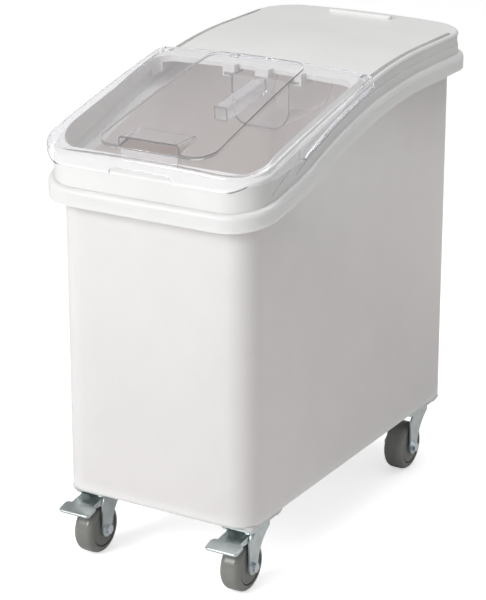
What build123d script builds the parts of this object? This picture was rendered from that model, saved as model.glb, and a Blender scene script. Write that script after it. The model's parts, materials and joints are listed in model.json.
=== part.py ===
from build123d import *
import math
import os

os.makedirs("parts", exist_ok=True)

# Mobile ingredient bin with a slant-top cover, a sliding clear lid, a scoop and four casters.
# Millimetres. The origin is on the floor under the middle of the rim; the front faces -Y,
# +X is on the right seen from the front, +Z is up.

# Tub
TUB_WIDTH = 315.0
TUB_LENGTH = 623.0
TUB_CORNER = 40.0
TUB_BASE = 105.0
TUB_WALL = 4.5
TUB_FLOOR = 5.0
BASE_ROUND = 8.0
FLOOR_ROUND = 14.0

# Rolled rim: a hollow channel turned down all round the top of the tub
RIM_OVERHANG = 23.8
RIM_DEPTH = 24.0
RIM_PLATE = 5.5
RIM_LIP = 4.0
RIM_ROUND = 8.0
RIM_HALF_WIDTH = TUB_WIDTH / 2 + RIM_OVERHANG
RIM_HALF_LENGTH = TUB_LENGTH / 2 + RIM_OVERHANG
RIM_FRONT_HEIGHT = 570.0
RIM_FRONT_SLOPE = 0.2
RIM_BLEND = 260.0

# Side line: every track is an arc about one far axis, level behind the axis
TRACK_Y = 169.0
TRACK_Z = -284.0
RIM_RADIUS = 953.0
BAND_RADIUS = 966.0
LIP_RADIUS = 981.0
COVER_RADIUS = 985.0
GROOVE_RADIUS = 979.0

# Cover
COVER_INSET = 8.0
COVER_CORNER = 58.0
COVER_WALL = 3.2
COVER_CROWN = 5.0
COVER_CROWN_HALF = 170.0
COVER_ROUND = 5.0
COVER_SLOPE_ANGLE = 13.7
FRONT_RAIL_RADIUS = 1016.0
BAND_DEPTH = 1.5
BAND_FRONT = -214.0
COVER_HALF_WIDTH = RIM_HALF_WIDTH - COVER_INSET
COVER_FRONT = -RIM_HALF_LENGTH + COVER_INSET
COVER_REAR = RIM_HALF_LENGTH - COVER_INSET

# Opening in the cover
OPENING_HALF_WIDTH = 163.5
OPENING_FRONT = -298.0
OPENING_REAR = -24.0
OPENING_FRONT_CORNER = 36.0
OPENING_REAR_CORNER = 24.0
COLLAR_WALL = 3.0
COLLAR_REAR = -48.0
COLLAR_FRONT_BOTTOM = 591.0
COLLAR_REAR_BOTTOM = 679.0

# Raised ring round the opening, just below the closed lid
RING_GAP = 2.0
RING_FLAT_HALF = 165.0
RING_HALF_WIDTH = 171.5
RING_SHOULDER = 15.0
RING_DEPTH = 26.0
RING_FRONT = -306.0
RING_REAR = -9.0
RING_FRONT_CORNER = 44.0
RING_REAR_CORNER = 30.0

# Step in the cover's side ahead of the lid's runners
STEP_HALF_WIDTH = 171.7
STEP_FRONT = -280.5
STEP_REAR = -206.0

# Guide groove along each side of the cover
GROOVE_INNER = 161.0
GROOVE_OUTER = 168.5
GROOVE_FRONT = -21.5
GROOVE_REAR = 274.0
RAIL_INNER = 156.0
RAIL_DEPTH = 16.0

# Stop bar near the cover's rear edge
BAR_HALF_LENGTH = 54.0
BAR_WIDTH = 12.0
BAR_Y = 294.0
BAR_TOP = 711.0
BAR_ROUND = 3.0

# Clear lid
LID_HALF_WIDTH = 180.0
LID_FRONT = -RIM_HALF_LENGTH
LID_REAR = 2.0
LID_FRONT_CORNER = 60.0
LID_REAR_CORNER = 12.0
LID_SHEET = 2.6
LID_ROUND = 7.0
LID_CROWN = 6.0
LID_FRONT_HEIGHT = 622.0
LID_REAR_HEIGHT = 698.0
LID_BULGE = 4.0
LID_SKIRT_FRONT = 603.0
LID_SKIRT_CORNER = 612.0
LID_REAR_GAP = 6.0
PANEL_FRONT_HALF = 94.0
PANEL_REAR_HALF = 80.0
PANEL_FRONT = -311.0
PANEL_REAR = -14.0
PANEL_FRONT_CORNER = 32.0
PANEL_REAR_CORNER = 22.0
PANEL_RISE = 3.5
HOOD_HALF_WIDTH = 49.0
HOOD_FRONT = -311.6
HOOD_REAR = -230.0
HOOD_TOP = 651.0
HOOD_CORNER = 6.0
HOOD_LIP = 5.0
GRIP_HALF_WIDTH = 50.0
GRIP_HEIGHT = 10.0
RUNNER_RADIUS = 978.4
RUNNER_TOP = 991.0
RUNNER_FRONT_ANGLE = 22.2
RUNNER_REAR_ANGLE = 10.2
FOOT_INNER = 162.4
FOOT_OUTER = 167.1
FOOT_FRONT = -16.0
FOOT_REAR = -3.0
FOOT_RADIUS = 980.4

# Scoop and the hooks that hold it under the cover
SCOOP_X = 15.0
SCOOP_WALL = 2.4
BOWL_HALF_WIDTH = 48.0
BOWL_BOTTOM = 605.0
BOWL_TOP = 679.0
BOWL_FRONT = -40.0
BOWL_REAR = 105.0
BOWL_MOUTH_CUT = 42.0
BOWL_ROUND = 30.0
EAR_HALF_WIDTH = 60.5
EAR_LENGTH = 32.0
HANDLE_SIZE = 22.0
HANDLE_WALL = 2.6
HANDLE_END = -150.0
HANDLE_DROP = 17.0
HOOK_HALF_WIDTH = 65.0
HOOK_WALL = 3.0
HOOK_FRONT = -36.0
HOOK_REAR = 0.0
HOOK_LEDGE = 673.6
HOOK_TOP = 690.5
HOOK_LEDGE_THICK = 2.5
HOOK_LEDGE_WIDTH = 12.0
LEFT_BLOCK = 20.0
RIGHT_BLOCK = 11.0
STOP_WIDTH = 22.0
STOP_GAP = 0.6

# Casters
CASTER_X = 124.0
CASTER_Y = 251.0
CASTER_HEIGHT = 101.6
WHEEL_RADIUS = 38.1
TRAIL = 26.0
PLATE_WIDTH = 54.0
PLATE_LENGTH = 90.0
PLATE_THICK = 2.8
PLATE_CORNER = 7.0
PAD_MARGIN = 1.5
SCREW_X = 19.0
SCREW_Y = 37.0
SCREW_RADIUS = 3.0
SCREW_HEAD_WIDTH = 10.0
SCREW_HEAD_HEIGHT = 4.0
SCREW_LENGTH = 9.5
INSERT_RADIUS = 4.4
INSERT_LENGTH = 7.0
RUNNING_GAP = 0.05
FACE_GAP = 0.3
RACE_RADIUS = 20.5
RACE_HEIGHT = 3.3
RACE_BORE = 14.0
CROWN_RADIUS = 22.0
FORK_SHEET = 2.5
FORK_HALF_WIDTH = 20.9
KINGPIN_RADIUS = 4.5
KINGPIN_HEAD_RADIUS = 9.0
KINGPIN_HEAD_HEIGHT = 3.2
TYRE_HALF_WIDTH = 15.8
TYRE_SHOULDER = 9.0
TYRE_INNER_RADIUS = 28.0
HUB_HALF_WIDTH = 17.4
HUB_BOSS_RADIUS = 11.0
HUB_WEB_HALF = 9.0
SLEEVE_RADIUS = 6.0
BOLT_RADIUS = 4.0
BOLT_HEAD_WIDTH = 13.0
BOLT_HEAD_HEIGHT = 5.3
NUT_HEIGHT = 7.0
AXLE_BOSS_RADIUS = 11.5

# Foot brake of the front casters, measured from the swivel axis and the floor
PIVOT_Y = -25.0
PIVOT_Z = 85.0
PIVOT_RADIUS = 2.5
PEDAL_SHEET = 2.2
PEDAL_ARM_HALF = 18.0
PEDAL_ARM_LENGTH = 36.0
PEDAL_TREAD_HALF = 26.0
PEDAL_TIP_Y = -83.5
PEDAL_TIP_Z = 79.0
SHOE_HALF_WIDTH = 12.0
SHOE_THICK = 7.0
SHOE_GAP = 6.0

LOW = 300.0
HIGH = 760.0
REACH = 400.0


def arc_height(radius, y):
    """Height of a track arc at a place along the bin."""
    return TRACK_Z + math.sqrt(radius ** 2 - (y - TRACK_Y) ** 2)


def track_arc(radius, front, rear):
    """Stretch of a track arc, front and rear given along the bin."""
    middle = (front + rear) / 2
    return ThreePointArc(
        (front, arc_height(radius, front)),
        (middle, arc_height(radius, middle)),
        (rear, arc_height(radius, rear)),
    )


def side_solid(outline, half_width=250.0):
    """Extrude an outline drawn on the side view to both sides."""
    return extrude(Plane.YZ * make_face(outline), half_width, both=True)


def below_track(radius, front=-370.0):
    """Everything below a track: its arc, then level behind the far axis."""
    apex = TRACK_Z + radius
    outline = Curve() + [
        track_arc(radius, front, TRACK_Y),
        Polyline(
            (TRACK_Y, apex), (REACH, apex), (REACH, LOW), (front, LOW), (front, arc_height(radius, front))
        ),
    ]
    return side_solid(outline)


def below_rim_line(drop=0.0):
    """Everything below the rim: a gentle straight slope at the front, then the track arc."""
    radius = RIM_RADIUS
    slope = RIM_FRONT_SLOPE
    start_y = -REACH
    start_z = RIM_FRONT_HEIGHT + slope * (start_y + RIM_HALF_LENGTH)
    offset = start_z + slope * (TRACK_Y - start_y) - TRACK_Z
    root = math.sqrt((offset * slope) ** 2 - (1 + slope ** 2) * (offset ** 2 - radius ** 2))
    meet_y = TRACK_Y + (-offset * slope - root) / (1 + slope ** 2)
    meet_z = arc_height(radius, meet_y)
    apex = TRACK_Z + radius
    outline = Curve() + [
        Line((start_y, start_z), (meet_y, meet_z)),
        track_arc(radius, meet_y, TRACK_Y),
        Polyline((TRACK_Y, apex), (REACH, apex), (REACH, LOW), (start_y, LOW), (start_y, start_z)),
    ]
    face = make_face(outline)
    corner = face.vertices().sort_by_distance(Vector(meet_y, meet_z, 0))[0]
    face = fillet(corner, RIM_BLEND)
    return Pos(0, 0, -drop) * extrude(Plane.YZ * face, 250, both=True)


def track_cylinder(radius):
    """Solid cylinder about the far axis that the tracks share."""
    return Pos(0, TRACK_Y, TRACK_Z) * Rot(0, 90, 0) * Cylinder(radius, 500)


def plan_block(half_width, front, rear, front_corner, rear_corner, bottom=LOW, top=HIGH, rear_half=None):
    """Upright block with rounded corners, wider or narrower at the rear if asked."""
    rear_half = half_width if rear_half is None else rear_half
    outline = Polyline(
        (-half_width, front), (half_width, front), (rear_half, rear), (-rear_half, rear), close=True
    )
    face = make_face(outline)
    face = fillet(face.vertices().sort_by(Axis.Y)[:2], front_corner)
    face = fillet(face.vertices().sort_by(Axis.Y)[-2:], rear_corner)
    return Pos(0, 0, bottom) * extrude(face, top - bottom)


def frame_path():
    """Line of the cover's top: a straight slope, the track arc, then level."""
    angle = math.radians(COVER_SLOPE_ANGLE)
    tangent_y = TRACK_Y - COVER_RADIUS * math.sin(angle)
    tangent_z = arc_height(COVER_RADIUS, tangent_y)
    start_y = -360.0
    start_z = tangent_z - (tangent_y - start_y) * math.tan(angle)
    apex = TRACK_Z + COVER_RADIUS
    middle_y = (tangent_y + TRACK_Y) / 2
    return Wire([
        Line((0, start_y, start_z), (0, tangent_y, tangent_z)),
        ThreePointArc(
            (0, tangent_y, tangent_z),
            (0, middle_y, arc_height(COVER_RADIUS, middle_y)),
            (0, TRACK_Y, apex),
        ),
        Line((0, TRACK_Y, apex), (0, 360.0, apex)),
    ])


def lid_height(y):
    """Height of the lid's top beside its edges."""
    middle = (LID_FRONT + LID_REAR) / 2
    half = (LID_REAR - LID_FRONT) / 2
    chord = LID_FRONT_HEIGHT + (LID_REAR_HEIGHT - LID_FRONT_HEIGHT) * (y - LID_FRONT) / (2 * half)
    return chord + LID_BULGE * (1 - ((y - middle) / half) ** 2)


def lid_path():
    """Shallow arc of the lid's top, run on past both ends."""
    front = LID_FRONT - 12
    rear = LID_REAR + 12
    middle = (front + rear) / 2
    return Wire([
        ThreePointArc(
            (0, front, lid_height(front)), (0, middle, lid_height(middle)), (0, rear, lid_height(rear))
        )
    ])


def crowned_sweep(path, crown, crown_half, top=0.0, bottom=-110.0, half_width=200.0):
    """Sweep a section with a crowned top along a path in the middle plane."""
    crown_radius = crown_half ** 2 / (2 * crown)
    edge = top + crown - half_width ** 2 / (2 * crown_radius)
    outline = Curve() + [
        ThreePointArc((-half_width, edge), (0, top + crown), (half_width, edge)),
        Polyline((half_width, edge), (half_width, bottom), (-half_width, bottom), (-half_width, edge)),
    ]
    plane = Plane(origin=path @ 0, x_dir=(-1, 0, 0), z_dir=path % 0)
    return sweep(plane * make_face(outline), path)


def shared_edges(part, first, second):
    """Edges that run between two groups of a part's faces."""
    second_edges = [edge for face in second for edge in face.edges()]
    chosen = []
    for face in first:
        for edge in face.edges():
            if any(edge.is_same(other) for other in second_edges):
                chosen.append(edge)
    return chosen


def top_and_sides(part, lowest):
    """Split a part's faces into those that look up and the upright ones round the outside."""
    top = [face for face in part.faces() if face.normal_at().Z > 0.6 and face.center().Z > lowest]
    sides = [face for face in part.faces() if abs(face.normal_at().Z) < 0.3]
    return top, sides


def make_tub():
    """Tub: rounded box with a rolled rim that follows the side line."""
    half_width = TUB_WIDTH / 2
    half_length = TUB_LENGTH / 2
    box = plan_block(half_width, -half_length, half_length, TUB_CORNER, TUB_CORNER, TUB_BASE, HIGH)
    box = fillet(box.faces().sort_by(Axis.Z)[0].edges(), BASE_ROUND)
    rim_corner = TUB_CORNER + RIM_OVERHANG
    rim = plan_block(RIM_HALF_WIDTH, -RIM_HALF_LENGTH, RIM_HALF_LENGTH, rim_corner, rim_corner, LOW, HIGH)
    rim -= below_rim_line(RIM_DEPTH)
    tub = (box + rim) & (below_rim_line() + Pos(0, 0, LOW / 2) * Box(600, 900, LOW + 20))
    top, sides = top_and_sides(tub, RIM_FRONT_HEIGHT - 20)
    tub = fillet(shared_edges(tub, top, sides), RIM_ROUND)
    inner = plan_block(
        half_width - TUB_WALL, -half_length + TUB_WALL, half_length - TUB_WALL,
        TUB_CORNER - TUB_WALL, TUB_CORNER - TUB_WALL, TUB_BASE + TUB_FLOOR, HIGH,
    )
    inner = fillet(inner.faces().sort_by(Axis.Z)[0].edges(), FLOOR_ROUND)
    tub -= inner
    channel_corner = rim_corner - RIM_LIP
    channel = plan_block(
        RIM_HALF_WIDTH - RIM_LIP, -RIM_HALF_LENGTH + RIM_LIP, RIM_HALF_LENGTH - RIM_LIP,
        channel_corner, channel_corner, LOW, HIGH,
    )
    channel -= plan_block(half_width, -half_length, half_length, TUB_CORNER, TUB_CORNER, LOW, HIGH)
    tub -= channel & below_rim_line(RIM_PLATE)
    pad_height = TUB_BASE - CASTER_HEIGHT + 2
    for x, y in caster_places():
        pad = Box(PLATE_WIDTH + 2 * PAD_MARGIN, PLATE_LENGTH + 2 * PAD_MARGIN, pad_height)
        pad = fillet(pad.edges().filter_by(Axis.Z), PLATE_CORNER)
        tub += Pos(x, y, CASTER_HEIGHT + pad_height / 2) * pad
    socket = Cylinder(INSERT_RADIUS + RUNNING_GAP, INSERT_LENGTH)
    for x, y in screw_places():
        tub -= Pos(x, y, CASTER_HEIGHT + INSERT_LENGTH / 2) * socket
    return tub


def caster_places():
    """Swivel axes, front pair first."""
    return [(side * CASTER_X, end * CASTER_Y) for end in (-1, 1) for side in (-1, 1)]


def screw_places():
    """Four screws at each caster plate."""
    return [
        (x + i * SCREW_X, y + j * SCREW_Y) for x, y in caster_places() for i in (-1, 1) for j in (-1, 1)
    ]


def make_cover():
    """White cover: crowned shell with an opening, side grooves, a stop bar and scoop hooks."""
    path = frame_path()
    block = crowned_sweep(path, COVER_CROWN, COVER_CROWN_HALF)
    block &= plan_block(COVER_HALF_WIDTH, COVER_FRONT, COVER_REAR, COVER_CORNER, COVER_CORNER)
    block -= below_rim_line()
    block &= track_cylinder(FRONT_RAIL_RADIUS) + Pos(0, 200, 600) * Box(600, 600, 400)
    top, sides = top_and_sides(block, RIM_FRONT_HEIGHT)
    cover = fillet(shared_edges(block, top, sides), COVER_ROUND) + make_ring()

    wall = COVER_WALL
    inside = plan_block(
        COVER_HALF_WIDTH - wall, COVER_FRONT + wall, COVER_REAR - wall,
        COVER_CORNER - wall, COVER_CORNER - wall,
    )
    rails = Box(500, 500, 400) - Box(2 * RAIL_INNER, 500, 400)
    rails = Pos(0, COLLAR_REAR + 250, 600) * rails
    rails -= crowned_sweep(path, COVER_CROWN, COVER_CROWN_HALF, -RAIL_DEPTH)
    hollow = crowned_sweep(path, COVER_CROWN, COVER_CROWN_HALF, -wall) - rails
    hollow &= inside
    hollow &= track_cylinder(FRONT_RAIL_RADIUS - wall) + Pos(0, 200, 600) * Box(600, 600, 400)
    cover -= hollow

    collar = plan_block(
        OPENING_HALF_WIDTH + COLLAR_WALL, OPENING_FRONT - COLLAR_WALL, COLLAR_REAR,
        OPENING_FRONT_CORNER + COLLAR_WALL, 1.0,
    )
    collar &= crowned_sweep(path, COVER_CROWN, COVER_CROWN_HALF, -1.0)
    collar &= track_cylinder(FRONT_RAIL_RADIUS - 1.0)
    slope = (COLLAR_REAR_BOTTOM - COLLAR_FRONT_BOTTOM) / (OPENING_REAR - OPENING_FRONT)
    start = COLLAR_FRONT_BOTTOM + slope * (-REACH - OPENING_FRONT)
    end = COLLAR_FRONT_BOTTOM + slope * -OPENING_FRONT
    collar -= side_solid(Polyline((-REACH, start), (0, end), (0, LOW), (-REACH, LOW), close=True))
    cover += collar
    cover -= plan_block(
        OPENING_HALF_WIDTH, OPENING_FRONT, OPENING_REAR, OPENING_FRONT_CORNER, OPENING_REAR_CORNER
    )

    band = plan_block(300, -340, 340, 1, 1)
    band -= plan_block(
        COVER_HALF_WIDTH - BAND_DEPTH, COVER_FRONT + BAND_DEPTH, COVER_REAR - BAND_DEPTH,
        COVER_CORNER - BAND_DEPTH, COVER_CORNER - BAND_DEPTH,
    )
    band &= below_track(LIP_RADIUS) - below_track(BAND_RADIUS)
    band &= Pos(0, BAND_FRONT + 300, 600) * Box(700, 600, 400)
    cover -= band
    step_length = STEP_REAR - STEP_FRONT
    step = Box(500, step_length, 400) - Box(2 * STEP_HALF_WIDTH, step_length, 400)
    cover -= Pos(0, (STEP_FRONT + STEP_REAR) / 2, 600) * step - track_cylinder(LIP_RADIUS + 0.5)

    groove_middle = (GROOVE_INNER + GROOVE_OUTER) / 2
    for side in (-1, 1):
        slot = Pos(side * groove_middle, (GROOVE_FRONT + GROOVE_REAR) / 2) * Rot(0, 0, 90) * SlotOverall(
            GROOVE_REAR - GROOVE_FRONT, GROOVE_OUTER - GROOVE_INNER
        )
        cover -= Pos(0, 0, 600) * extrude(slot, 150) - track_cylinder(GROOVE_RADIUS)

    apex = TRACK_Z + COVER_RADIUS
    bar_height = BAR_TOP - apex
    bar = Box(2 * BAR_HALF_LENGTH, BAR_WIDTH, bar_height)
    bar = fillet(bar.edges().filter_by(Axis.Z), BAR_WIDTH / 2 - 0.5)
    bar = fillet(bar.faces().sort_by(Axis.Z)[-1].edges(), BAR_ROUND)
    cover += Pos(0, BAR_Y, apex + bar_height / 2) * bar
    return cover + make_hooks(path)


def make_ring():
    """Raised ring round the opening: its top runs just below the closed lid, its sides slope."""
    edge = LID_CROWN - LID_SHEET - RING_GAP - RING_FLAT_HALF ** 2 * LID_CROWN / (COVER_CROWN_HALF ** 2)
    front = RING_FRONT - 10
    rear = RING_REAR + 10
    middle = (front + rear) / 2
    outline = Curve() + [
        ThreePointArc(
            (front, lid_height(front) + edge), (middle, lid_height(middle) + edge),
            (rear, lid_height(rear) + edge),
        ),
        Polyline(
            (rear, lid_height(rear) + edge), (rear, lid_height(rear) - RING_DEPTH),
            (front, lid_height(front) - RING_DEPTH), (front, lid_height(front) + edge),
        ),
    ]
    ring = side_solid(outline)
    ring &= plan_block(RING_HALF_WIDTH, RING_FRONT, RING_REAR, RING_FRONT_CORNER, RING_REAR_CORNER)
    ring &= track_cylinder(FRONT_RAIL_RADIUS - 0.5)
    lean = (RING_HALF_WIDTH - RING_FLAT_HALF) / RING_SHOULDER
    rise = (lid_height(rear) - lid_height(front)) / (rear - front)
    for side in (-1, 1):
        slope = Polyline(
            (side * (RING_FLAT_HALF - 8 * lean), 8), (side * (RING_FLAT_HALF + 25 * lean), -25),
            (side * 220, -25), (side * 220, 40), (side * (RING_FLAT_HALF - 8 * lean), 40), close=True,
        )
        place = Plane(origin=(0, front, lid_height(front) + edge), x_dir=(1, 0, 0), z_dir=(0, -1, 0))
        ring -= extrude(place * make_face(slope), rear - front, dir=(0, 1, rise))
    return ring


def make_hooks(path):
    """Two hooks and a middle stop moulded under the cover's crossbar."""
    hooks = Part()
    stop_bottom = BOWL_TOP + STOP_GAP
    reach = HOOK_REAR - HOOK_FRONT
    middle_y = (HOOK_FRONT + HOOK_REAR) / 2
    for side in (-1, 1):
        outer = SCOOP_X + side * (HOOK_HALF_WIDTH - HOOK_WALL / 2)
        hooks += Pos(outer, middle_y, HOOK_LEDGE + 20) * Box(HOOK_WALL, reach, 40)
        ledge_x = SCOOP_X + side * (HOOK_HALF_WIDTH - HOOK_LEDGE_WIDTH / 2)
        ledge = Box(HOOK_LEDGE_WIDTH, reach, HOOK_LEDGE_THICK)
        hooks += Pos(ledge_x, middle_y, HOOK_LEDGE + HOOK_LEDGE_THICK / 2) * ledge
    blocks = [
        (SCOOP_X - HOOK_HALF_WIDTH + LEFT_BLOCK / 2, LEFT_BLOCK),
        (SCOOP_X + HOOK_HALF_WIDTH - RIGHT_BLOCK / 2, RIGHT_BLOCK),
        (SCOOP_X, STOP_WIDTH),
    ]
    for x, width in blocks:
        hooks += Pos(x, middle_y, stop_bottom + 15) * Box(width, reach, 30)
    hooks &= crowned_sweep(path, COVER_CROWN, COVER_CROWN_HALF, -COVER_WALL / 2)
    front_reach = OPENING_REAR + 4 - HOOK_FRONT
    front_y = HOOK_FRONT + front_reach / 2
    for x, width in blocks:
        front_height = HOOK_TOP - stop_bottom
        hooks += Pos(x, front_y, stop_bottom + front_height / 2) * Box(width, front_reach, front_height)
    return hooks


def make_lid():
    """Clear lid: shallow crowned tray turned over, with runners, feet, a panel and a finger hole."""
    path = lid_path()
    sheet = LID_SHEET
    outer = crowned_sweep(path, LID_CROWN, COVER_CROWN_HALF, 0, -90)
    outer &= plan_block(LID_HALF_WIDTH, LID_FRONT, LID_REAR, LID_FRONT_CORNER, LID_REAR_CORNER)
    top, sides = top_and_sides(outer, LID_FRONT_HEIGHT - 20)
    outer = fillet(shared_edges(outer, top, sides), LID_ROUND)
    inner = crowned_sweep(path, LID_CROWN, COVER_CROWN_HALF, -sheet, -95)
    inner &= plan_block(
        LID_HALF_WIDTH - sheet, LID_FRONT + sheet, LID_REAR - sheet,
        LID_FRONT_CORNER - sheet, LID_REAR_CORNER - sheet,
    )
    top, sides = top_and_sides(inner, LID_FRONT_HEIGHT - 20)
    inner = fillet(shared_edges(inner, top, sides), LID_ROUND - sheet)

    panel = plan_block(
        PANEL_FRONT_HALF, PANEL_FRONT, PANEL_REAR, PANEL_FRONT_CORNER, PANEL_REAR_CORNER,
        rear_half=PANEL_REAR_HALF,
    )
    outer += panel & crowned_sweep(path, LID_CROWN, COVER_CROWN_HALF, PANEL_RISE, -10)
    inner += panel & crowned_sweep(path, LID_CROWN, COVER_CROWN_HALF, PANEL_RISE - sheet, -10)
    outer += make_hood(0.0, sheet / 2)
    inner += make_hood(sheet, 2 * sheet)
    lid = outer - inner

    skirt_radius = RUNNER_RADIUS + 1.0
    edge_y = TRACK_Y - skirt_radius * math.sin(math.radians(RUNNER_FRONT_ANGLE))
    edge_z = arc_height(skirt_radius, edge_y)
    outline = Curve() + [
        Polyline(
            (30, arc_height(skirt_radius, 30)), (30, LOW), (-REACH, LOW), (-REACH, LID_SKIRT_FRONT),
            (LID_FRONT + 4, LID_SKIRT_FRONT), (LID_FRONT + 16, LID_SKIRT_CORNER), (edge_y, edge_z),
        ),
        track_arc(skirt_radius, edge_y, 30),
    ]
    lid -= side_solid(outline)
    passage = crowned_sweep(frame_path(), COVER_CROWN, COVER_CROWN_HALF, LID_REAR_GAP)
    passage &= Pos(0, 20, 650) * Box(2 * (LID_HALF_WIDTH - sheet), 150, 200)
    lid -= passage
    for side in (-1, 1):
        lid += make_runner(side)
        lid += make_foot(side)

    inner_half = HOOD_HALF_WIDTH - sheet
    lip_y = HOOD_FRONT + sheet / 2
    lip = Pos(0, lip_y, lid_height(lip_y)) * Box(2 * inner_half, sheet, 2 * HOOD_LIP + 2 * sheet)
    lid += lip & crowned_sweep(path, LID_CROWN, COVER_CROWN_HALF, 0, -40)
    mouth_bottom = lid_height(HOOD_FRONT) + LID_CROWN + 0.3
    mouth_height = HOOD_TOP - sheet - mouth_bottom
    mouth = Box(2 * inner_half, 6, mouth_height)
    mouth = fillet(mouth.faces().sort_by(Axis.Z)[-1].edges().filter_by(Axis.Y), HOOD_CORNER - sheet)
    lid -= Pos(0, HOOD_FRONT, mouth_bottom + mouth_height / 2) * mouth
    grip = fillet(
        Box(2 * GRIP_HALF_WIDTH, 30, 2 * GRIP_HEIGHT).edges().filter_by(Axis.Y), GRIP_HEIGHT - 0.5
    )
    return lid - Pos(0, LID_FRONT, LID_SKIRT_FRONT) * grip


def make_hood(inset, depth):
    """Finger hood: level on top, so that it stands out of the sloping lid towards the front."""
    half = HOOD_HALF_WIDTH - inset
    front = HOOD_FRONT + inset
    height = 60.0
    hood = Box(2 * half, HOOD_REAR - front, height)
    hood = fillet(hood.faces().sort_by(Axis.Z)[-1].edges().filter_by(Axis.Y), HOOD_CORNER - inset)
    hood = Pos(0, (front + HOOD_REAR) / 2, HOOD_TOP - inset - height / 2) * hood
    return hood & crowned_sweep(lid_path(), LID_CROWN, COVER_CROWN_HALF, 30, LID_CROWN - depth)


def make_runner(side):
    """Flared runner under the lid's side, hooked under the cover's outer lip."""
    inner_x = LID_HALF_WIDTH - LID_SHEET - 0.4
    outer_x = LID_HALF_WIDTH - 0.4
    hook_x = COVER_HALF_WIDTH - 0.8
    flare_x = RIM_HALF_WIDTH
    section = Polyline(
        (inner_x, RUNNER_TOP), (inner_x, RUNNER_RADIUS + 2.2), (hook_x, RUNNER_RADIUS + 2.0),
        (hook_x, RUNNER_RADIUS), (flare_x, RUNNER_RADIUS), (flare_x, RUNNER_RADIUS + 2.0),
        (outer_x, RUNNER_RADIUS + 9.0), (outer_x, RUNNER_TOP), close=True,
    )
    face = Pos(0, TRACK_Y, TRACK_Z) * Rot(90, 0, 0) * make_face(section)
    axis = Axis((0, TRACK_Y, TRACK_Z), (1, 0, 0))
    runner = revolve(face.rotate(axis, RUNNER_REAR_ANGLE), axis, RUNNER_FRONT_ANGLE - RUNNER_REAR_ANGLE)
    return runner if side > 0 else mirror(runner, Plane.YZ)


def make_foot(side):
    """Small foot under the lid's rear corner that runs in the cover's groove."""
    foot = Pos(side * (FOOT_INNER + FOOT_OUTER) / 2, (FOOT_FRONT + FOOT_REAR) / 2, 690) * Box(
        FOOT_OUTER - FOOT_INNER, FOOT_REAR - FOOT_FRONT, 40
    )
    foot -= track_cylinder(FOOT_RADIUS)
    ceiling = crowned_sweep(lid_path(), LID_CROWN, COVER_CROWN_HALF, -LID_SHEET / 2, -90)
    return foot & ceiling


def make_scoop():
    """Clear scoop: deep trough with a slanted mouth, two hanging ears and a hollow square handle."""
    width = 2 * BOWL_HALF_WIDTH
    depth = BOWL_TOP - BOWL_BOTTOM
    length = BOWL_REAR - BOWL_FRONT
    bowl = Box(width, length, depth)
    bowl = fillet(bowl.faces().sort_by(Axis.Z)[0].edges().filter_by(Axis.Y), BOWL_ROUND)
    hollow = Pos(0, SCOOP_WALL, SCOOP_WALL) * Box(width - 2 * SCOOP_WALL, length, depth)
    hollow = fillet(hollow.faces().sort_by(Axis.Z)[0].edges().filter_by(Axis.Y), BOWL_ROUND - SCOOP_WALL)
    bowl = Pos(SCOOP_X, (BOWL_FRONT + BOWL_REAR) / 2, (BOWL_BOTTOM + BOWL_TOP) / 2) * (bowl - hollow)
    mouth = Polyline(
        (BOWL_REAR - BOWL_MOUTH_CUT, BOWL_BOTTOM - 5), (BOWL_REAR + 5, BOWL_BOTTOM - 5),
        (BOWL_REAR + 5, BOWL_TOP - 6), (BOWL_REAR, BOWL_TOP - 6), close=True,
    )
    bowl -= side_solid(mouth)

    ears = Box(2 * EAR_HALF_WIDTH, EAR_LENGTH, SCOOP_WALL)
    ears -= Box(width - 2 * SCOOP_WALL, EAR_LENGTH, SCOOP_WALL)
    bowl += Pos(SCOOP_X, BOWL_FRONT + EAR_LENGTH / 2, BOWL_TOP - SCOOP_WALL / 2) * ears

    handle_length = BOWL_FRONT - HANDLE_END + SCOOP_WALL / 2
    tilt = math.degrees(math.atan2(HANDLE_DROP, handle_length))
    shell = fillet(Box(HANDLE_SIZE, handle_length, HANDLE_SIZE).edges().filter_by(Axis.Y), 3.0)
    bore_size = HANDLE_SIZE - 2 * HANDLE_WALL
    bore = fillet(Box(bore_size, handle_length, bore_size).edges().filter_by(Axis.Y), 1.5)
    handle = shell - Pos(0, -2 * SCOOP_WALL, 0) * bore
    handle_z = BOWL_TOP - HANDLE_SIZE / 2 - 0.5
    handle = Pos(0, -handle_length / 2, 0) * handle
    handle = Pos(SCOOP_X, BOWL_FRONT + SCOOP_WALL / 2, handle_z) * Rot(tilt, 0, 0) * handle
    return bowl + handle


def hex_prism(width, height):
    """Hexagon prism, width across flats, base on the plane."""
    return extrude(RegularPolygon(width / 2, 6, major_radius=False), height)


def make_screws():
    """Sixteen hex-head screws that hold the caster plates."""
    screws = []
    plate_bottom = CASTER_HEIGHT - PLATE_THICK
    for x, y in screw_places():
        head = chamfered_hex(SCREW_HEAD_WIDTH, SCREW_HEAD_HEIGHT)
        shank = Pos(0, 0, SCREW_HEAD_HEIGHT + SCREW_LENGTH / 2) * Cylinder(SCREW_RADIUS, SCREW_LENGTH)
        screws.append(Pos(x, y, plate_bottom - SCREW_HEAD_HEIGHT) * (head + shank))
    return Compound(children=screws)


def chamfered_hex(width, height):
    """Hexagon head with its outer corners turned off at the free face."""
    head = hex_prism(width, height)
    small = width / 2 * 1.05
    cone = Cone(small, small + 1.2 * height, height, align=(Align.CENTER, Align.CENTER, Align.MIN))
    return head & cone


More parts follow.
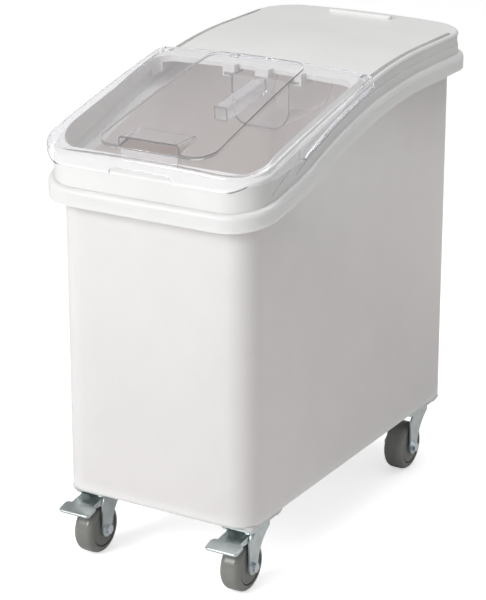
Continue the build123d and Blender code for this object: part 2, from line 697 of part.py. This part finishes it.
def make_inserts():
    """Sixteen threaded inserts moulded into the caster pads."""
    inserts = []
    for x, y in screw_places():
        insert = Cylinder(INSERT_RADIUS, INSERT_LENGTH)
        insert -= Cylinder(SCREW_RADIUS + RUNNING_GAP, INSERT_LENGTH)
        inserts.append(Pos(x, y, CASTER_HEIGHT + INSERT_LENGTH / 2) * insert)
    return Compound(children=inserts)


def make_plate():
    """Mounting plate with four slotted holes."""
    plate = Box(PLATE_WIDTH, PLATE_LENGTH, PLATE_THICK)
    plate = fillet(plate.edges().filter_by(Axis.Z), PLATE_CORNER)
    for i in (-1, 1):
        for j in (-1, 1):
            slot = Rot(0, 0, 90) * SlotOverall(9.0, 2 * SCREW_RADIUS + 0.4)
            plate -= Pos(i * SCREW_X, j * SCREW_Y, -PLATE_THICK) * extrude(slot, 2 * PLATE_THICK)
    plate -= Cylinder(KINGPIN_RADIUS, 2 * PLATE_THICK)
    return Pos(0, 0, CASTER_HEIGHT - PLATE_THICK / 2) * plate


def make_race():
    """Swivel bearing ring under the plate."""
    race = Cylinder(RACE_RADIUS, RACE_HEIGHT) - Cylinder(RACE_BORE, RACE_HEIGHT)
    lower_circles = race.edges().filter_by(GeomType.CIRCLE).group_by(Axis.Z)[0]
    race = fillet(lower_circles.sort_by(SortBy.RADIUS)[-1], 1.5)
    return Pos(0, 0, CASTER_HEIGHT - PLATE_THICK - RACE_HEIGHT / 2) * race


def crown_top():
    """Height of the top of the fork's crown."""
    return CASTER_HEIGHT - PLATE_THICK - RACE_HEIGHT - FACE_GAP


def make_kingpin():
    """Kingpin rivet that holds the fork up against the bearing."""
    head_top = crown_top() - FORK_SHEET - FACE_GAP
    top = CASTER_HEIGHT
    profile = Polyline(
        (0, head_top - KINGPIN_HEAD_HEIGHT), (KINGPIN_HEAD_RADIUS - 3, head_top - KINGPIN_HEAD_HEIGHT),
        (KINGPIN_HEAD_RADIUS, head_top - 1.0), (KINGPIN_HEAD_RADIUS, head_top), (KINGPIN_RADIUS, head_top),
        (KINGPIN_RADIUS, top), (0, top), close=True,
    )
    return revolve(Plane.XZ * make_face(profile), Axis.Z)


def make_fork(braked):
    """Stamped fork: a crown disc folded down into two legs that lean to the axle."""
    top = crown_top()
    axle_y = -TRAIL
    axle_z = WHEEL_RADIUS
    boss = AXLE_BOSS_RADIUS
    front_y = axle_y - boss
    outline = Curve() + [
        Line((19, top), (19, top - 9)),
        ThreePointArc((19, top - 9), (-4, 66), (axle_y + boss, axle_z)),
        ThreePointArc((axle_y + boss, axle_z), (axle_y, axle_z - boss), (front_y, axle_z)),
        Line((front_y, axle_z), (front_y, 76)),
        ThreePointArc((front_y, 76), (front_y + 3.5, top - 7), (front_y + 15, top)),
        Line((front_y + 15, top), (19, top)),
    ]
    slab = extrude(Plane.YZ * make_face(outline), FORK_HALF_WIDTH, both=True)
    crown = Pos(0, 0, top - FORK_SHEET / 2) * Cylinder(CROWN_RADIUS, FORK_SHEET)
    slab = fillet(
        [edge for edge in slab.edges().filter_by(Axis.Y) if edge.center().Z > top - 0.1], FORK_SHEET + 0.5
    )
    tunnel = extrude(Plane.YZ * make_face(outline), FORK_HALF_WIDTH - FORK_SHEET, both=True)
    tunnel = Pos(0, 0, -FORK_SHEET) * tunnel
    below = Pos(0, -10, 40) * Box(2 * (FORK_HALF_WIDTH - FORK_SHEET), 120, 2 * (top - FORK_SHEET - 40))
    fork = slab - (tunnel + below) + crown
    fork -= Pos(0, 0, top) * Cylinder(KINGPIN_RADIUS + RUNNING_GAP, 20)
    fork -= Pos(0, axle_y, axle_z) * Rot(0, 90, 0) * Cylinder(BOLT_RADIUS + RUNNING_GAP, 100)
    if braked:
        fork -= Pos(0, PIVOT_Y, PIVOT_Z) * Rot(0, 90, 0) * Cylinder(PIVOT_RADIUS + RUNNING_GAP, 100)
    return fork


def about_axle(part):
    """Move a piece modelled round the Z axis onto the wheel's axle."""
    return Pos(0, -TRAIL, WHEEL_RADIUS) * Rot(0, 90, 0) * part


def make_sleeve():
    """Spacer sleeve clamped between the fork's legs."""
    length = 2 * (FORK_HALF_WIDTH - FORK_SHEET)
    return about_axle(Cylinder(SLEEVE_RADIUS, length) - Cylinder(BOLT_RADIUS + RUNNING_GAP, length))


def make_hub():
    """Wheel hub: long boss, thin web and an outer rim that the tyre grips."""
    bore = SLEEVE_RADIUS + RUNNING_GAP
    profile = Polyline(
        (bore, -HUB_HALF_WIDTH), (HUB_BOSS_RADIUS, -HUB_HALF_WIDTH), (HUB_BOSS_RADIUS + 2, -HUB_WEB_HALF),
        (TYRE_INNER_RADIUS - 5, -HUB_WEB_HALF), (TYRE_INNER_RADIUS - 4, -TYRE_HALF_WIDTH + 0.6),
        (TYRE_INNER_RADIUS, -TYRE_HALF_WIDTH + 0.6), (TYRE_INNER_RADIUS, TYRE_HALF_WIDTH - 0.6),
        (TYRE_INNER_RADIUS - 4, TYRE_HALF_WIDTH - 0.6), (TYRE_INNER_RADIUS - 5, HUB_WEB_HALF),
        (HUB_BOSS_RADIUS + 2, HUB_WEB_HALF), (HUB_BOSS_RADIUS, HUB_HALF_WIDTH), (bore, HUB_HALF_WIDTH),
        close=True,
    )
    return about_axle(revolve(Plane.XZ * make_face(profile), Axis.Z))


def make_tyre():
    """Tyre with a rounded tread."""
    side = TYRE_HALF_WIDTH
    shoulder = WHEEL_RADIUS - TYRE_SHOULDER
    turn = TYRE_SHOULDER * math.sqrt(0.5)
    outline = Curve() + [
        Polyline(
            (shoulder, side), (TYRE_INNER_RADIUS, side), (TYRE_INNER_RADIUS, -side), (shoulder, -side)
        ),
        ThreePointArc(
            (shoulder, -side), (shoulder + turn, -side + TYRE_SHOULDER - turn),
            (WHEEL_RADIUS, -side + TYRE_SHOULDER),
        ),
        Line((WHEEL_RADIUS, -side + TYRE_SHOULDER), (WHEEL_RADIUS, side - TYRE_SHOULDER)),
        ThreePointArc(
            (WHEEL_RADIUS, side - TYRE_SHOULDER), (shoulder + turn, side - TYRE_SHOULDER + turn),
            (shoulder, side),
        ),
    ]
    return about_axle(revolve(Plane.XZ * make_face(outline), Axis.Z))


def make_axle_bolt():
    """Hex-head axle bolt through fork and sleeve, head at the outer leg on +X."""
    length = 2 * FORK_HALF_WIDTH + NUT_HEIGHT + 1.5
    head = Rot(180, 0, 0) * Pos(0, 0, -BOLT_HEAD_HEIGHT) * chamfered_hex(BOLT_HEAD_WIDTH, BOLT_HEAD_HEIGHT)
    shank = Pos(0, 0, -length / 2) * Cylinder(BOLT_RADIUS, length)
    return about_axle(Pos(0, 0, FORK_HALF_WIDTH) * (head + shank))


def make_axle_nut():
    """Lock nut with a round collar, at the leg on -X."""
    nut = chamfered_hex(BOLT_HEAD_WIDTH, NUT_HEIGHT - 2) + Pos(0, 0, -1) * Cylinder(5.6, 2)
    nut = Pos(0, 0, -FORK_HALF_WIDTH - NUT_HEIGHT + 2) * nut
    return about_axle(nut - Cylinder(BOLT_RADIUS + RUNNING_GAP, 120))


def make_pedal():
    """Brake pedal: folded arms on the pivot, a bridge between them and a wide curled tread."""
    reach_y = PIVOT_Y - PEDAL_ARM_LENGTH
    arm_outline = Polyline(
        (PIVOT_Y + 6, PIVOT_Z - 4), (PIVOT_Y + 6, PIVOT_Z + 4), (PIVOT_Y, PIVOT_Z + 6),
        (reach_y, PIVOT_Z + 1), (reach_y, PIVOT_Z - 5), (PIVOT_Y - 12, PIVOT_Z - 6), close=True,
    )
    solid = extrude(Plane.YZ * make_face(arm_outline), PEDAL_ARM_HALF, both=True)
    gap = Pos(0, 0, -PEDAL_SHEET) * extrude(
        Plane.YZ * make_face(arm_outline), PEDAL_ARM_HALF - PEDAL_SHEET, both=True
    )
    under = Pos(0, PIVOT_Y, PIVOT_Z - 9) * Box(2 * (PEDAL_ARM_HALF - PEDAL_SHEET), 90, 12)
    behind = Pos(0, PIVOT_Y + 4, PIVOT_Z) * Box(2 * (PEDAL_ARM_HALF - PEDAL_SHEET), 20, 30)
    arms = solid - gap - under - behind

    tread_outline = Curve() + [
        Line((reach_y + 1, PIVOT_Z + 1), (PEDAL_TIP_Y + 2, PEDAL_TIP_Z + 2.2)),
        ThreePointArc(
            (PEDAL_TIP_Y + 2, PEDAL_TIP_Z + 2.2), (PEDAL_TIP_Y, PEDAL_TIP_Z),
            (PEDAL_TIP_Y + 2, PEDAL_TIP_Z - 2.2),
        ),
        Polyline(
            (PEDAL_TIP_Y + 2, PEDAL_TIP_Z - 2.2), (PEDAL_TIP_Y + 4, PEDAL_TIP_Z - 1.2),
            (reach_y + 1, PIVOT_Z + 1 - PEDAL_SHEET), (reach_y + 1, PIVOT_Z + 1),
        ),
    ]
    tread = extrude(Plane.YZ * make_face(tread_outline), PEDAL_TREAD_HALF, both=True)
    tread = fillet([e for e in tread.edges() if abs(e.center().X) > PEDAL_TREAD_HALF - 1
                    and e.center().Y > reach_y and e.length < 3], 1.0)
    pedal = arms + tread
    return pedal - Pos(0, PIVOT_Y, PIVOT_Z) * Rot(0, 90, 0) * Cylinder(PIVOT_RADIUS + RUNNING_GAP, 80)


def make_shoe():
    """Rubber brake shoe held between the pedal's arms, curved to the tyre."""
    shoe = Pos(0, PIVOT_Y - 24, PIVOT_Z + 1.0 - SHOE_THICK) * Box(2 * SHOE_HALF_WIDTH, 18, 2 * SHOE_THICK)
    arm_slope = math.atan2(5, PEDAL_ARM_LENGTH)
    cut = Pos(0, PIVOT_Y - 24, PIVOT_Z + 6 - PEDAL_SHEET - 24 * math.tan(arm_slope) + 20)
    cut = cut * Rot(math.degrees(arm_slope), 0, 0) * Box(60, 60, 40)
    return (shoe - cut) - about_axle(Cylinder(WHEEL_RADIUS + SHOE_GAP, 60))


def make_pivot():
    """Rivet that carries the brake pedal between the fork's legs."""
    span = 2 * FORK_HALF_WIDTH
    rivet = Cylinder(PIVOT_RADIUS, span)
    for side in (-1, 1):
        rivet += Pos(0, 0, side * (span / 2 + 0.75)) * Cylinder(4.5, 1.5)
    return Pos(0, PIVOT_Y, PIVOT_Z) * Rot(0, 90, 0) * rivet


def write(part, name, place=(0, 0)):
    """Write one piece, moved to its caster's swivel axis where it has one."""
    export_step(Pos(place[0], place[1], 0) * part, "parts/" + name + ".step")


write(make_tub(), "bin_body")
write(make_inserts(), "caster_inserts")
write(make_screws(), "caster_screws")
write(make_cover(), "lid_frame")
write(make_lid(), "sliding_lid")
write(make_scoop(), "scoop")

CASTER_NAMES = ("front_left", "front_right", "rear_left", "rear_right")
COMMON = {
    "plate": make_plate(),
    "race": make_race(),
    "kingpin": make_kingpin(),
    "sleeve": make_sleeve(),
    "hub": make_hub(),
    "tyre": make_tyre(),
    "axle_bolt": make_axle_bolt(),
    "axle_nut": make_axle_nut(),
}
BRAKE = {
    "brake_pedal": make_pedal(),
    "brake_shoe": make_shoe(),
    "brake_pivot": make_pivot(),
}
BRAKED_FORK = make_fork(True)
PLAIN_FORK = make_fork(False)

for caster, place in zip(CASTER_NAMES, caster_places()):
    braked = caster.startswith("front")
    for piece, part in COMMON.items():
        write(part, caster + "_" + piece, place)
    write(BRAKED_FORK if braked else PLAIN_FORK, caster + "_fork", place)
    if braked:
        for piece, part in BRAKE.items():
            write(part, caster + "_" + piece, place)
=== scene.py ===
import json
import math

import bmesh
import bpy
from mathutils import Matrix


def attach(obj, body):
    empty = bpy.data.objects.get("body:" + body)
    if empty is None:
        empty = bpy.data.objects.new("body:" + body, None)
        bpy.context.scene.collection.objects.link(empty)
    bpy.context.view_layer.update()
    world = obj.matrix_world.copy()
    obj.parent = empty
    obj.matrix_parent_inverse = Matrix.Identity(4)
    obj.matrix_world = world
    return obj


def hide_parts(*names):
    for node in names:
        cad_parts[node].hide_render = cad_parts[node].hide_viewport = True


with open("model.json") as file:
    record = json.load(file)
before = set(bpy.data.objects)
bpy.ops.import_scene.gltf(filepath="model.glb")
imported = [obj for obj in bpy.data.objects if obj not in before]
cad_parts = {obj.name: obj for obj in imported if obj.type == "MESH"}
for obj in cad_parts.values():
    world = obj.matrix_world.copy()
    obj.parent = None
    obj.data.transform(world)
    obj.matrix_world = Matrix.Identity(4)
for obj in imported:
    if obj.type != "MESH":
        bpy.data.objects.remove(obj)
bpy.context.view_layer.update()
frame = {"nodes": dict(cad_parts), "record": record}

# Metres. The frame's front faces -Y, +X is on the right seen from the front, +Z is up.

# Casters: swivel axes, and the wheel's axle measured from them
CASTERS = {
    "front_left": (-0.124, -0.251),
    "front_right": (0.124, -0.251),
    "rear_left": (-0.124, 0.251),
    "rear_right": (0.124, 0.251),
}
WHEEL_TRAIL = 0.026
WHEEL_RADIUS = 0.0381
HUB_BORE = 0.00605
HUB_RADIUS = 0.02795

# Brake pedals, measured from the swivel axis and the floor
PEDAL_SHEET = 0.0022
ARM_HALF_WIDTH = 0.018
ARM_OUTLINE = [
    (-0.019, 0.081), (-0.019, 0.089), (-0.025, 0.091), (-0.061, 0.086), (-0.061, 0.080), (-0.037, 0.079)
]
TREAD_SIZE = (0.0535, 0.0245, 0.0048)
TREAD_PLACE = (-0.0721, 0.0822)
TREAD_SLOPE = 14.5
TREAD_CORNER = 0.0065
TREAD_EDGE = 0.0022

# Depth of the plastic's grain and of the metal's scratches
GRAIN_RELIEF = 0.00006
SCRATCH_RELIEF = 0.00003

# Angle in degrees above which an edge of a new piece stays crisp
CREASE_ANGLE = 35.0

# Tub
TUB_INNER_HALF_WIDTH = 0.1531
TUB_INNER_HALF_LENGTH = 0.3071
TUB_INNER_CORNER = 0.0355
TUB_FLOOR_LEVEL = 0.107
TUB_TOP_LEVEL = 0.9
TINT_EDGE = 0.0005
# Painted warm light: colour given to the tub's inner walls and floor in place of the light that passes
# through its walls
TUB_INNER_PAINTED_LIGHT = (0.97, 0.835, 0.79)

# Camera
CAMERA_AZIMUTH = 30.66
CAMERA_ELEVATION = 19.58
CAMERA_PLACE = (1.6385, -2.8266, 1.4900)
CAMERA_LENS = 138.8

# Surroundings
FLOOR_HALF_SIZE = 30.0
FLOOR_GLOW = 0.6
WORLD_STRENGTH = 0.36


def add_camera():
    """Camera in front of the right front corner, above the lid."""
    data = bpy.data.cameras.new("view")
    data.lens = CAMERA_LENS
    data.sensor_width = 36.0
    camera = bpy.data.objects.new("view", data)
    camera.location = CAMERA_PLACE
    camera.rotation_euler = (math.radians(90 - CAMERA_ELEVATION), 0, math.radians(CAMERA_AZIMUTH))
    bpy.context.collection.objects.link(camera)
    bpy.context.scene.camera = camera


# Materials

def new_material(name):
    """Empty node material: its nodes, its links, a principled shader and object coordinates."""
    material = bpy.data.materials.new(name)
    material.use_nodes = True
    nodes = material.node_tree.nodes
    links = material.node_tree.links
    shader = nodes["Principled BSDF"]
    place = nodes.new("ShaderNodeTexCoord").outputs["Object"]
    return material, nodes, links, shader, place


def add_noise(nodes, links, place, scale, detail=3.0, roughness=0.5):
    """Noise texture read at a place; gives its height output."""
    noise = nodes.new("ShaderNodeTexNoise")
    noise.inputs["Scale"].default_value = scale
    noise.inputs["Detail"].default_value = detail
    noise.inputs["Roughness"].default_value = roughness
    links.new(place, noise.inputs["Vector"])
    return noise.outputs["Fac"]


def map_range(nodes, links, value, low, high, new_low, new_high):
    """Map a value from one range to another."""
    node = nodes.new("ShaderNodeMapRange")
    links.new(value, node.inputs["Value"])
    node.inputs["From Min"].default_value = low
    node.inputs["From Max"].default_value = high
    node.inputs["To Min"].default_value = new_low
    node.inputs["To Max"].default_value = new_high
    return node.outputs["Result"]


def mix_colours(nodes, links, factor, first, second):
    """Blend between two colours by a factor."""
    mix = nodes.new("ShaderNodeMix")
    mix.data_type = "RGBA"
    links.new(factor, mix.inputs["Factor"])
    mix.inputs[6].default_value = (*first, 1.0)
    mix.inputs[7].default_value = (*second, 1.0)
    return mix.outputs[2]


def either_ray(nodes, links, first, second):
    """One for rays of either of two kinds, and nought for all others."""
    rays = nodes.new("ShaderNodeLightPath")
    either = nodes.new("ShaderNodeMath")
    either.operation = "MAXIMUM"
    links.new(rays.outputs[first], either.inputs[0])
    links.new(rays.outputs[second], either.inputs[1])
    return either.outputs[0]


def add_bump(nodes, links, shader, height, distance, strength=1.0):
    """Small surface relief."""
    bump = nodes.new("ShaderNodeBump")
    bump.inputs["Strength"].default_value = strength
    bump.inputs["Distance"].default_value = distance
    links.new(height, bump.inputs["Height"])
    links.new(bump.outputs["Normal"], shader.inputs["Normal"])


def moulded_plastic(name, first, second, roughness):
    """Opaque moulded plastic: slight colour drift, uneven gloss and a fine grain."""
    material, nodes, links, shader, place = new_material(name)
    drift = add_noise(nodes, links, place, 9.0, 4.0)
    drift = map_range(nodes, links, drift, 0.35, 0.65, 0.0, 1.0)
    links.new(mix_colours(nodes, links, drift, first, second), shader.inputs["Base Color"])
    gloss = add_noise(nodes, links, place, 55.0)
    gloss = map_range(nodes, links, gloss, 0.3, 0.7, roughness - 0.05, roughness + 0.06)
    links.new(gloss, shader.inputs["Roughness"])
    shader.inputs["Specular IOR Level"].default_value = 0.45
    grain = add_noise(nodes, links, place, 900.0, 2.0)
    add_bump(nodes, links, shader, grain, GRAIN_RELIEF)
    return material


def clear_plastic(name, tint, density):
    """Clear plastic whose colour gathers along its edges."""
    material, nodes, links, shader, place = new_material(name)
    shader.inputs["Base Color"].default_value = (0.984, 0.983, 0.982, 1.0)
    shader.inputs["Transmission Weight"].default_value = 0.92
    shader.inputs["IOR"].default_value = 1.46
    smear = add_noise(nodes, links, place, 14.0, 4.0)
    links.new(map_range(nodes, links, smear, 0.4, 0.75, 0.015, 0.09), shader.inputs["Roughness"])
    wave = add_noise(nodes, links, place, 6.0, 2.0)
    add_bump(nodes, links, shader, wave, 0.0012, 0.4)
    absorption = nodes.new("ShaderNodeVolumeAbsorption")
    absorption.inputs["Color"].default_value = (*tint, 1.0)
    absorption.inputs["Density"].default_value = density
    output = nodes["Material Output"]
    links.new(absorption.outputs["Volume"], output.inputs["Volume"])
    through = nodes.new("ShaderNodeBsdfTransparent")
    through.inputs["Color"].default_value = (0.972, 0.968, 0.962, 1.0)
    lighting = either_ray(nodes, links, "Is Shadow Ray", "Is Diffuse Ray")
    mix = nodes.new("ShaderNodeMixShader")
    links.new(lighting, mix.inputs["Fac"])
    links.new(shader.outputs["BSDF"], mix.inputs[1])
    links.new(through.outputs["BSDF"], mix.inputs[2])
    links.new(mix.outputs["Shader"], output.inputs["Surface"])
    return material


def plated_metal(name, first, second, roughness):
    """Zinc-plated steel: cloudy patches, uneven gloss and faint scratches."""
    material, nodes, links, shader, place = new_material(name)
    cloud = add_noise(nodes, links, place, 70.0, 5.0, 0.6)
    cloud = map_range(nodes, links, cloud, 0.3, 0.7, 0.0, 1.0)
    links.new(mix_colours(nodes, links, cloud, first, second), shader.inputs["Base Color"])
    shader.inputs["Metallic"].default_value = 1.0
    gloss = map_range(nodes, links, cloud, 0.0, 1.0, roughness - 0.07, roughness + 0.1)
    links.new(gloss, shader.inputs["Roughness"])
    scratch = add_noise(nodes, links, place, 1400.0, 2.0)
    add_bump(nodes, links, shader, scratch, SCRATCH_RELIEF)
    return material


def vector_math(nodes, links, operation, first, second=None):
    """One step of vector arithmetic; the second value is a plain constant."""
    node = nodes.new("ShaderNodeVectorMath")
    node.operation = operation
    links.new(first, node.inputs[0])
    if second is not None:
        node.inputs[1].default_value = second
    return node.outputs["Value"] if operation == "LENGTH" else node.outputs["Vector"]


def tub_plastic(name, first, second, roughness):
    """White plastic of the tub, with painted warm light on its inner walls and floor: a warmer, lighter
    colour in place of the light that passes through the tub's walls.
    """
    material = moulded_plastic(name, first, second, roughness)
    nodes = material.node_tree.nodes
    links = material.node_tree.links
    shader = nodes["Principled BSDF"]
    place = nodes.new("ShaderNodeTexCoord").outputs["Object"]
    core = (
        TUB_INNER_HALF_WIDTH - TUB_INNER_CORNER,
        TUB_INNER_HALF_LENGTH - TUB_INNER_CORNER,
        TUB_TOP_LEVEL,
    )
    beyond = vector_math(nodes, links, "ABSOLUTE", place)
    beyond = vector_math(nodes, links, "SUBTRACT", beyond, core)
    beyond = vector_math(nodes, links, "MAXIMUM", beyond, (0.0, 0.0, 0.0))
    distance = vector_math(nodes, links, "LENGTH", beyond)
    tint_start = TUB_INNER_CORNER + 2 * TINT_EDGE
    inside = map_range(nodes, links, distance, tint_start, tint_start + TINT_EDGE, 1.0, 0.0)
    parts = nodes.new("ShaderNodeSeparateXYZ")
    links.new(place, parts.inputs[0])
    above = map_range(
        nodes, links, parts.outputs["Z"], TUB_FLOOR_LEVEL, TUB_FLOOR_LEVEL + 2 * TINT_EDGE, 0.0, 1.0
    )
    painted_light_mask = nodes.new("ShaderNodeMath")
    painted_light_mask.operation = "MULTIPLY"
    links.new(inside, painted_light_mask.inputs[0])
    links.new(above, painted_light_mask.inputs[1])
    # Painted warm light: inner walls and floor take a warmer, lighter colour standing in for light
    # through the tub's walls
    mix = nodes.new("ShaderNodeMix")
    mix.data_type = "RGBA"
    links.new(painted_light_mask.outputs[0], mix.inputs["Factor"])
    links.new(shader.inputs["Base Color"].links[0].from_socket, mix.inputs[6])
    mix.inputs[7].default_value = (*TUB_INNER_PAINTED_LIGHT, 1.0)
    links.new(mix.outputs[2], shader.inputs["Base Color"])
    shader.inputs["Subsurface Weight"].default_value = 0.8
    shader.inputs["Subsurface Radius"].default_value = (1.0, 1.0, 1.0)
    shader.inputs["Subsurface Scale"].default_value = 0.026
    return material


MATERIALS = {
    "tub_plastic": tub_plastic("tub_plastic", (0.80, 0.80, 0.79), (0.83, 0.83, 0.82), 0.38),
    "white_plastic": moulded_plastic("white_plastic", (0.72, 0.72, 0.712), (0.75, 0.75, 0.742), 0.38),
    "clear_plastic": clear_plastic("clear_plastic", (0.32, 0.36, 0.86), 8.0),
    "zinc_steel": plated_metal("zinc_steel", (0.52, 0.57, 0.57), (0.68, 0.73, 0.73), 0.34),
    "bright_zinc": plated_metal("bright_zinc", (0.62, 0.66, 0.72), (0.75, 0.79, 0.85), 0.24),
    "wheel_plastic": moulded_plastic("wheel_plastic", (0.17, 0.173, 0.16), (0.195, 0.198, 0.183), 0.22),
    "wheel_tread": moulded_plastic("wheel_tread", (0.19, 0.193, 0.178), (0.22, 0.223, 0.207), 0.2),
    "black_rubber": moulded_plastic("black_rubber", (0.008, 0.008, 0.008), (0.015, 0.015, 0.015), 0.7),
    "brass": plated_metal("brass", (0.6, 0.45, 0.2), (0.75, 0.58, 0.3), 0.35),
}


def paint(obj, slot):
    """Give an object its slot's material."""
    obj.data.materials.clear()
    obj.data.materials.append(MATERIALS[slot])


def paint_frame():
    """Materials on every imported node, with the tub's own plastic on the tub."""
    for part in frame["record"]["subparts"]:
        paint(frame["nodes"][part["node"]], part["material_slot"])
    paint(frame["nodes"]["bin_body"], "tub_plastic")


# Pieces of the casters

def finish_piece(bm, name, slot):
    """Turn a bmesh into a painted object with smooth faces and crisp edges."""
    bmesh.ops.recalc_face_normals(bm, faces=bm.faces)
    mesh = bpy.data.meshes.new(name)
    bm.to_mesh(mesh)
    bm.free()
    for polygon in mesh.polygons:
        polygon.use_smooth = True
    mesh.set_sharp_from_angle(angle=math.radians(CREASE_ANGLE))
    piece = bpy.data.objects.new(name, mesh)
    bpy.context.collection.objects.link(piece)
    paint(piece, slot)
    return piece


def add_hub(caster):
    """Wheel centre: turned disc, nearly flush with the tyre, with a narrow ring groove between them."""
    x, y = CASTERS[caster]
    half_outline = [
        (0.0174, HUB_BORE), (0.0174, 0.0103), (0.0169, 0.0110), (0.0160, 0.0113), (0.0159, 0.0125),
        (0.0158, 0.0190), (0.0154, 0.0245), (0.0149, 0.0262), (0.0140, 0.0268), (0.0122, 0.0270),
        (0.0118, HUB_RADIUS),
    ]
    outline = half_outline + [(-width, radius) for width, radius in reversed(half_outline)]
    bm = bmesh.new()
    corners = [bm.verts.new((width, 0.0, radius)) for width, radius in outline]
    edges = [bm.edges.new((corners[i - 1], corners[i])) for i in range(len(corners))]
    bmesh.ops.spin(
        bm, geom=corners + edges, cent=(0, 0, 0), axis=(1, 0, 0), angle=math.tau, steps=96, use_merge=True
    )
    bmesh.ops.remove_doubles(bm, verts=bm.verts, dist=0.00001)
    bmesh.ops.translate(bm, verts=bm.verts, vec=(x, y - WHEEL_TRAIL, WHEEL_RADIUS))
    hub = finish_piece(bm, caster + "_wheel_centre", "wheel_plastic")
    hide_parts(caster + "_hub")
    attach(hub, caster + "_wheel")


def add_tread(bm):
    """Foot tread of a pedal: a plate with rounded corners and a full, rolled edge."""
    bmesh.ops.create_cube(bm, size=1.0)
    bmesh.ops.scale(bm, verts=bm.verts, vec=TREAD_SIZE)
    upright = [edge for edge in bm.edges if abs(edge.verts[0].co.z - edge.verts[1].co.z) > 0.001]
    bmesh.ops.bevel(
        bm, geom=upright, offset=TREAD_CORNER, segments=6, profile=0.5, material=-1, affect="EDGES"
    )
    rims = [edge for edge in bm.edges if edge.calc_face_angle() > 1.0]
    bmesh.ops.bevel(
        bm, geom=rims, offset=TREAD_EDGE, segments=4, profile=0.5, material=-1, affect="EDGES"
    )
    slope = Matrix.Rotation(math.radians(TREAD_SLOPE), 3, "X")
    bmesh.ops.rotate(bm, verts=bm.verts, cent=(0, 0, 0), matrix=slope)
    bmesh.ops.translate(bm, verts=bm.verts, vec=(0, *TREAD_PLACE))


def add_arm(bm):
    """Arm of a pedal: a folded channel, open underneath and at both ends."""
    corners = [bm.verts.new((-ARM_HALF_WIDTH, y, z)) for y, z in ARM_OUTLINE]
    cheek = bm.faces.new(corners)
    swept = bmesh.ops.extrude_face_region(bm, geom=[cheek])["geom"]
    far_corners = [item for item in swept if isinstance(item, bmesh.types.BMVert)]
    bmesh.ops.translate(bm, verts=far_corners, vec=(2 * ARM_HALF_WIDTH, 0, 0))
    ends = set(corners + far_corners)
    shell = [face for face in bm.faces if face.verts[0] in ends]
    bmesh.ops.recalc_face_normals(bm, faces=shell)
    open_sides = [face for face in shell if abs(face.normal.x) < 0.5 and face.normal.z < 0.5]
    folded = [face for face in shell if face not in open_sides]
    bmesh.ops.delete(bm, geom=open_sides, context="FACES")
    bmesh.ops.solidify(bm, geom=folded, thickness=PEDAL_SHEET)


def add_pedal(caster):
    """Brake pedal: a folded arm with a rolled foot tread at its end."""
    bm = bmesh.new()
    add_tread(bm)
    add_arm(bm)
    bmesh.ops.translate(bm, verts=bm.verts, vec=(*CASTERS[caster], 0))
    pedal = finish_piece(bm, caster + "_foot_pedal", "zinc_steel")
    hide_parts(caster + "_brake_pedal")
    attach(pedal, caster + "_brake")


def add_caster_pieces():
    """Wheel centres on all casters and foot pedals on the two brakes."""
    for caster in CASTERS:
        add_hub(caster)
        if caster.startswith("front"):
            add_pedal(caster)


# Surroundings

def add_floor():
    """White floor that keeps the object's shadow."""
    mesh = bpy.data.meshes.new("floor")
    bm = bmesh.new()
    bmesh.ops.create_grid(bm, x_segments=1, y_segments=1, size=FLOOR_HALF_SIZE)
    bm.to_mesh(mesh)
    bm.free()
    floor = bpy.data.objects.new("floor", mesh)
    bpy.context.collection.objects.link(floor)
    material, nodes, links, shader, _ = new_material("floor")
    shader.inputs["Base Color"].default_value = (0.85, 0.85, 0.85, 1.0)
    shader.inputs["Roughness"].default_value = 0.9
    shader.inputs["Specular IOR Level"].default_value = 0.0
    shader.inputs["Emission Color"].default_value = (1.0, 1.0, 1.0, 1.0)
    seen = either_ray(nodes, links, "Is Camera Ray", "Is Transmission Ray")
    glow = map_range(nodes, links, seen, 0.0, 1.0, 0.0, FLOOR_GLOW)
    links.new(glow, shader.inputs["Emission Strength"])
    mesh.materials.append(material)


def add_world():
    """Even white surroundings, full white where the camera sees them."""
    world = bpy.data.worlds.new("surroundings")
    bpy.context.scene.world = world
    world.use_nodes = True
    nodes = world.node_tree.nodes
    links = world.node_tree.links
    background = nodes["Background"]
    background.inputs["Color"].default_value = (1.0, 1.0, 1.0, 1.0)
    seen = either_ray(nodes, links, "Is Camera Ray", "Is Transmission Ray")
    strength = map_range(nodes, links, seen, 0.0, 1.0, WORLD_STRENGTH, 1.0)
    links.new(strength, background.inputs["Strength"])


def add_light(name, place, aim, size, power):
    """Square area light aimed at a point."""
    data = bpy.data.lights.new(name, "AREA")
    data.size = size
    data.energy = power
    light = bpy.data.objects.new(name, data)
    light.location = place
    direction = [a - p for a, p in zip(aim, place)]
    flat = math.hypot(direction[0], direction[1])
    light.rotation_euler = (
        math.atan2(flat, -direction[2]), 0, math.atan2(-direction[0], direction[1])
    )
    bpy.context.collection.objects.link(light)


def add_lights():
    """Large soft light from the front left, one overhead and a weak one from the right rear."""
    add_light("key", (-1.1, -3.4, 2.2), (0, 0, 0.4), 1.8, 112.0)
    add_light("overhead", (0.3, 0.5, 2.6), (0, 0, 0.6), 1.5, 20.0)
    add_light("fill", (1.9, 1.9, 0.9), (0.18, 0.33, 0.4), 1.0, 3.5)


bpy.context.scene.view_settings.view_transform = "Standard"
add_camera()
paint_frame()
add_caster_pieces()
add_floor()
add_world()
add_lights()
